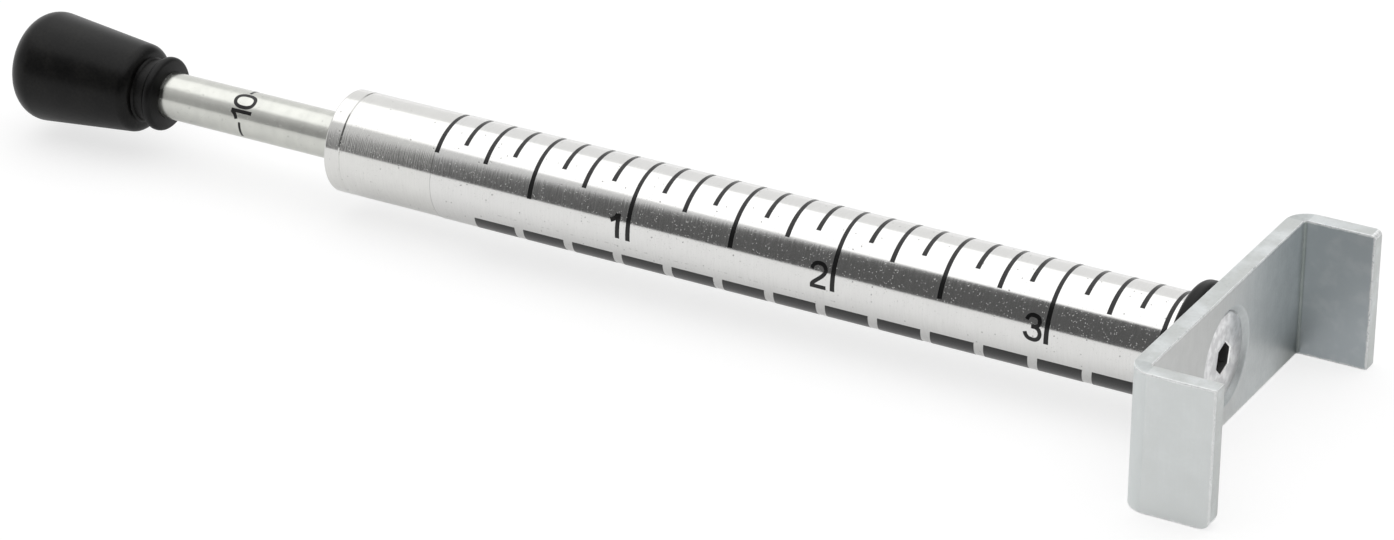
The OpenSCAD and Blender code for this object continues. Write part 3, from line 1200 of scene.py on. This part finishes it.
@dataclass
class Scale:
    """The foil label with its inch scale, on the barrel."""

    radius: float = 6.01
    inner_r: float = 5.96
    near_x: float = -2.3
    far_x: float = -94.4
    zero_x: float = -94.16
    eighth: float = 3.175
    last: int = 28
    line_width: float = 0.43
    swell: float = 0.3
    hidden_end: float = 111.0
    numeral_low: float = -2.6
    numeral_high: float = 22.6
    pen: float = 0.45
    bolder: float = 1.17
    skew: float = 0.065
    true_x: float = -52.0
    block_top: float = -26.0
    block_bottom: float = -63.0
    block_start: float = 4.3
    block_len: float = 5.2
    block_lean: float = 0.9
    block_steps: int = 14
    blocks: int = 13
    foil_edge: float = 0.012
    boxes: ClassVar[dict[Numeral, Point2]] = {
        Numeral.ONE: (-2.25, -1.32), Numeral.TWO: (-2.62, -0.82), Numeral.THREE: (-2.50, -0.72)}

    def label(self) -> bpy.types.Object:
        """Makes the foil sleeve.

        Returns:
            The sleeve.
        """
        r, c = self.radius, self.foil_edge
        outline = [(self.far_x, self.inner_r), (self.far_x, r - c), (self.far_x + c, r),
                   (self.near_x - c, r), (self.near_x, r - c), (self.near_x, self.inner_r)]
        return turned("foil_label", outline, sides=160, smooth=30.0)

    def round(self, x: float, degrees: float) -> float:
        """Distance round the barrel of an angle on the label, which was stuck on slightly askew."""
        return (degrees + self.skew * (x - self.true_x)) * math.radians(self.radius)

    def graduations(self, ink: Print) -> bpy.types.Object:
        """Makes the lines of the scale.

        Args:
            ink: The print on the label.

        Returns:
            The lines, as one piece.
        """
        body = Solid()
        for k in range(self.last + 1):
            x = self.zero_x + k * self.eighth
            ends = (self.round(x, TickEnd.of(k).value), self.round(x, self.hidden_end))
            ink.line(body, [(x, ends[0]), (x, ends[1])], self.line_width, swell=self.swell)
        return body.piece("scale_graduations", smooth=60.0)

    def numerals(self, ink: Print) -> bpy.types.Object:
        """Makes the numerals, each just left of its inch line.

        Args:
            ink: The print on the label.

        Returns:
            The numerals, as one piece.
        """
        body = Solid()
        for inches, shape in enumerate((Numeral.ONE, Numeral.TWO, Numeral.THREE), 1):
            line_x = self.zero_x + 8 * inches * self.eighth
            left, right = self.boxes[shape]
            low, high = self.round(line_x, self.numeral_low), self.round(line_x, self.numeral_high)

            def at(u: float, v: float) -> Point2:
                """Takes a point of the numeral's box to the label."""
                return (line_x + left + u * (right - left), low + v * (high - low))

            ink.numeral(body, shape, at,
                        self.pen * (self.bolder if shape is Numeral.ONE else 1.0))
        return body.piece("scale_numerals", smooth=60.0)

    def band(self, ink: Print) -> bpy.types.Object:
        """Makes the row of plain leaning blocks along the underside.

        Args:
            ink: The print on the label.

        Returns:
            The blocks, as one piece.
        """
        body = Solid()
        for k in range(self.blocks):
            start = self.zero_x + self.block_start + 2 * k * self.eighth
            side = []
            for n in range(self.block_steps + 1):
                t = n / self.block_steps
                degrees = self.block_bottom + (self.block_top - self.block_bottom) * t
                side.append((start + self.block_lean * t, self.round(start, degrees)))
            ink.block(body, side, [(x + self.block_len, y) for x, y in side])
        return body.piece("scale_band", smooth=60.0)

    def build(self) -> None:
        """Makes the label and its print."""
        place(self.label(), Finish.FOIL, "barrel", "scale_label")
        ink = Print(self.radius)
        for made in (self.graduations(ink), self.numerals(ink), self.band(ink)):
            place(made, Finish.INK, "barrel")


@dataclass
class RubberRing:
    """A moulded rubber ring with a flat bore and a rounded crown."""

    name: str
    node: str
    body: str
    x: float
    bore_r: float
    width: float
    height: float
    crown: float
    slope: float = 0.0
    lip: float = 0.05

    def build(self) -> None:
        """Makes the ring."""
        low, high = self.x - self.width / 2.0, self.x + self.width / 2.0
        outer = self.bore_r + self.height
        outline = rounded([
            Corner(low, self.bore_r, self.lip), Corner(low, outer, self.crown),
            Corner(high - self.slope, outer, self.crown), Corner(high, self.bore_r, self.lip)],
            steps=10)
        place(turned(self.name, outline, sides=128, smooth=60.0), Finish.RUBBER,
              self.body, self.node)


@dataclass
class Plunger:
    """The rod with its mark, and the knob."""

    rod_r: float = 2.75
    rod_chamfer: float = 0.3
    tail_r: float = 2.25
    tail_chamfer: float = 0.15
    start_x: float = -149.7
    step_x: float = -95.1
    end_x: float = -89.05
    screw_hole_r: float = 1.52
    screw_hole: float = 7.2
    mark_x: float = -122.36
    mark_width: float = 0.31
    mark_top: float = -123.55
    mark_foot: float = -121.02
    pen: float = 0.43
    knob_end_d: float = 13.0
    knob_neck_d: float = 10.5
    knob_end_x: float = -153.4
    knob_face_x: float = -136.8
    boss_x: float = -135.2
    boss_r: float = 3.7
    boss_edge: float = 0.2
    end_round: float = 3.1
    neck_round: float = 1.4
    clearance: float = 0.01
    mark_lines: ClassVar[tuple[Point2, ...]] = ((-40.0, 4.0), (86.0, 116.0))
    numerals: ClassVar[dict[Numeral, Point2]] = {
        Numeral.ONE: (11.0, 31.0), Numeral.ZERO: (42.0, 77.0)}

    def rod(self) -> bpy.types.Object:
        """Makes the rod with its stepped tail.

        Returns:
            The rod.
        """
        bottom = self.end_x - self.screw_hole
        outline = [
            (self.start_x, 0.0), (self.start_x, self.rod_r - self.rod_chamfer),
            (self.start_x + self.rod_chamfer, self.rod_r), (self.step_x, self.rod_r),
            (self.step_x, self.tail_r), (self.end_x - self.tail_chamfer, self.tail_r),
            (self.end_x, self.tail_r - self.tail_chamfer), (self.end_x, self.screw_hole_r),
            (bottom, self.screw_hole_r), (bottom, 0.0)]
        return turned("plated_rod", outline, sides=128, smooth=32.0, loop=False)

    def mark(self) -> bpy.types.Object:
        """Makes the line with its number, which reads up round the rod.

        Returns:
            The mark, as one piece.
        """
        body = Solid()
        ink = Print(self.rod_r, rise=0.014)
        per_degree = math.radians(self.rod_r)
        for low, high in self.mark_lines:
            ink.line(body, [(self.mark_x, low * per_degree), (self.mark_x, high * per_degree)],
                     self.mark_width)
        for shape, (low, high) in self.numerals.items():

            def at(u: float, v: float) -> Point2:
                """Takes a point of the numeral's box to the rod."""
                return (self.mark_foot + v * (self.mark_top - self.mark_foot),
                        (low + u * (high - low)) * per_degree)

            ink.numeral(body, shape, at, self.pen)
        return body.piece("rod_mark", smooth=60.0)

    def knob(self) -> bpy.types.Object:
        """Makes the tapered knob with its socket for the rod.

        Returns:
            The knob.
        """
        a = Vector((self.knob_end_x + self.end_round, self.knob_end_d / 2.0 - self.end_round))
        b = Vector((self.knob_face_x - self.neck_round, self.knob_neck_d / 2.0 - self.neck_round))
        span = b - a
        tangent = math.degrees(math.atan2(span.y, span.x)
                               + math.acos((self.end_round - self.neck_round) / span.length))
        outline: list[Point2] = [(self.knob_end_x, 0.0)]
        steps = 16
        for centre, r, start, end in ((a, self.end_round, 180.0, tangent),
                                      (b, self.neck_round, tangent, 0.0)):
            for n in range(steps + 1):
                angle = math.radians(start + (end - start) * n / steps)
                outline.append((centre.x + r * math.cos(angle), centre.y + r * math.sin(angle)))
        c, bore = self.boss_edge, self.rod_r + self.clearance
        outline += [(self.knob_face_x, self.boss_r + c), (self.knob_face_x + c, self.boss_r),
                    (self.boss_x - c, self.boss_r), (self.boss_x, self.boss_r - c),
                    (self.boss_x, bore), (self.start_x, bore), (self.start_x, 0.0)]
        return turned("moulded_knob", outline, sides=144, smooth=40.0, loop=False)

    def build(self) -> None:
        """Makes the plunger's pieces."""
        rod, mark, knob = self.rod(), self.mark(), self.knob()
        place(rod, Finish.ROD, "plunger", "plunger_rod")
        place(mark, Finish.INK, "plunger")
        place(knob, Finish.KNOB, "plunger", "knob")


@dataclass
class Spring:
    """The wound spring inside the barrel, with closed and ground ends."""

    seat_x: float = -91.1
    end_x: float = -16.0
    coil_r: float = 3.87
    wire_r: float = 0.65
    closed_pitch: float = 1.8
    working_coils: int = 19
    travel: float = 25.13
    steps: int = 32
    sides: int = 12

    @property
    def length(self) -> float:
        """Length of the spring at rest."""
        return self.end_x - self.seat_x

    def _rise(self, turn: float) -> float:
        """Finds how far the wire's centre is from the seat.

        Args:
            turn: Number of turns from the seat.

        Returns:
            The distance along the axis.
        """
        pitch = (self.length - 2.0 * self.closed_pitch) / self.working_coils
        if turn < 1.0:
            return turn * self.closed_pitch
        if turn < 1.0 + self.working_coils:
            return self.closed_pitch + (turn - 1.0) * pitch
        return self.length - (self.working_coils + 2.0 - turn) * self.closed_pitch

    def build(self) -> None:
        """Makes and ties the spring."""
        rings = []
        for i in range((self.working_coils + 2) * self.steps + 1):
            turn = i / self.steps
            a = math.tau * turn
            ring = []
            for j in range(self.sides):
                b = math.tau * j / self.sides
                rise = self._rise(turn) + self.wire_r * math.sin(b)
                r = self.coil_r + self.wire_r * math.cos(b)
                ring.append((self.seat_x + min(self.length, max(0.0, rise)),
                             r * math.cos(a), r * math.sin(a)))
            rings.append(ring)
        body = Solid()
        body.skin(rings)
        made = body.piece("wound_spring", smooth=50.0)
        place(made, Finish.WIRE, "barrel", "plunger_spring")
        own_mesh(made)


# The studio

@dataclass
class Studio:
    """Pale floor, soft room light and the camera. Places and the floor's size are metres here."""

    camera_at: Point3 = (0.174214, -0.417520, 0.231348)
    azimuth: float = 29.6451
    elevation: float = 26.2274
    roll: float = 0.1715
    focal: float = 125.403
    sensor: float = 36.0
    floor_z: float = -0.00802
    floor_half: float = 3.0
    ceiling: float = 1.50
    wall: float = 0.95
    low_wall: float = 1.08
    side_wall: float = 0.72
    dark_card: float = 0.11
    back_card: float = 0.34
    card_edge: Point2 = (0.474, 0.532)
    card_lean: float = 0.15
    card_foot: float = 0.24
    back_way: Point2 = (0.766, 0.643)
    back_edge: Point2 = (0.60, 0.85)
    back_top: Point2 = (0.62, 0.42)
    side_x: Point2 = (-0.2, -0.6)
    side_y: Point2 = (0.2, -0.2)
    glow_edge: Point2 = (0.14, 0.04)
    under_edge: Point2 = (-0.005, -0.03)
    roof_edge: Point2 = (0.70, 0.74)
    roof_lean: float = 0.064
    paper: float = 0.90
    paper_seen: float = 0.32
    glow_seen: float = 0.72
    mirrored_share: float = 0.48

    def camera(self) -> None:
        """Sets the camera where the photograph was taken from."""
        data = bpy.data.cameras.new("photo_camera")
        data.lens = self.focal
        data.sensor_width = self.sensor
        data.sensor_fit = "HORIZONTAL"
        data.clip_start = 0.01
        data.clip_end = 50.0
        made = bpy.data.objects.new("photo_camera", data)
        bpy.context.scene.collection.objects.link(made)
        turn = (Matrix.Rotation(math.radians(self.azimuth), 4, "Z")
                @ Matrix.Rotation(math.radians(90.0 - self.elevation), 4, "X")
                @ Matrix.Rotation(math.radians(self.roll), 4, "Z"))
        made.matrix_world = Matrix.Translation(self.camera_at) @ turn
        bpy.context.scene.camera = made

    def _white_rays(self, g: Graph) -> Wire:
        """1 for the rays that see the plain background, from the camera or through a material."""
        return g.ray("Camera").most(g.ray("Transmission"))

    def room(self) -> None:
        """Lights the object with a bright ceiling, pale walls and a darker camera side."""
        world = bpy.data.worlds.new("studio_room")
        world.use_nodes = True
        bpy.context.scene.world = world
        g = Graph(world.node_tree)
        x, y, z = g.parts(g.node("ShaderNodeTexCoord", output="Generated"))
        level = (x * x + y * y).root().most(0.001)
        sine, cosine = math.sin(math.radians(self.azimuth)), math.cos(math.radians(self.azimuth))
        card = (x * sine - y * cosine) / level + z.most(self.card_foot) * self.card_lean
        card = card.step(*self.card_edge)
        back = (x * self.back_way[0] + y * self.back_way[1]) / level
        back = back.step(*self.back_edge) * z.step(*self.back_top)
        side = x.step(*self.side_x) * y.step(*self.side_y)
        under = z.step(*self.under_edge)
        roof = (z + y * self.roof_lean).step(*self.roof_edge)
        grey = self.wall + z.step(*self.glow_edge) * (self.low_wall - self.wall)
        grey = grey + side * (self.side_wall - self.wall)
        grey = grey + back * (self.back_card - self.wall)
        for share, value in ((card, self.dark_card), (under, self.wall), (roof, self.ceiling),
                             (self._white_rays(g), 1.0)):
            grey = grey * (1.0 - share) + share * value
        light = g.node("ShaderNodeBackground", None, {"Color": grey, "Strength": 1.0})
        g.node("ShaderNodeOutputWorld", None, {"Surface": light})

    def floor(self) -> None:
        """Lays the pale floor, which keeps the gauge's soft shadow."""
        half, z = self.floor_half, self.floor_z
        mesh = bpy.data.meshes.new("studio_floor")
        mesh.from_pydata([(-half, -half, z), (half, -half, z), (half, half, z), (-half, half, z)],
                         [], [(0, 1, 2, 3)])
        made = bpy.data.objects.new("studio_floor", mesh)
        bpy.context.scene.collection.objects.link(made)
        material = bpy.data.materials.new("studio_floor")
        material.use_nodes = True
        g = Graph(material.node_tree)
        shown = self._white_rays(g).most(g.ray("Glossy") * self.mirrored_share)
        paper = g.mix(shown, (self.paper,) * 3, (self.paper_seen,) * 3)
        glow = g.mix(shown, (0.0, 0.0, 0.0), (self.glow_seen,) * 3)
        both = g.node("ShaderNodeAddShader", None, {
            0: g.node("ShaderNodeBsdfDiffuse", None, {"Color": paper}),
            1: g.node("ShaderNodeEmission", None, {"Color": glow, "Strength": 1.0})})
        g.node("ShaderNodeOutputMaterial", None, {"Surface": both})
        mesh.materials.append(material)

    def build(self) -> None:
        """Sets up the whole studio."""
        self.camera()
        self.room()
        self.floor()
        bpy.context.scene.view_settings.view_transform = "Standard"


def main() -> None:
    logging.basicConfig(level=logging.INFO, format="%(message)s")
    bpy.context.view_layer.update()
    Cradle().build()
    Barrel().build()
    Scale().build()
    RubberRing("marker_ring_rubber", "marker_ring", "marker",
               x=-3.2, bore_r=6.05, width=1.8, height=1.65, crown=0.7).build()
    Plunger().build()
    RubberRing("rod_ring_rubber", "knob_ring", "plunger",
               x=-134.46, bore_r=2.76, width=1.44, height=1.6, crown=0.55, slope=0.3).build()
    Spring().build()
    Studio().build()


if __name__ == "__main__":
    main()
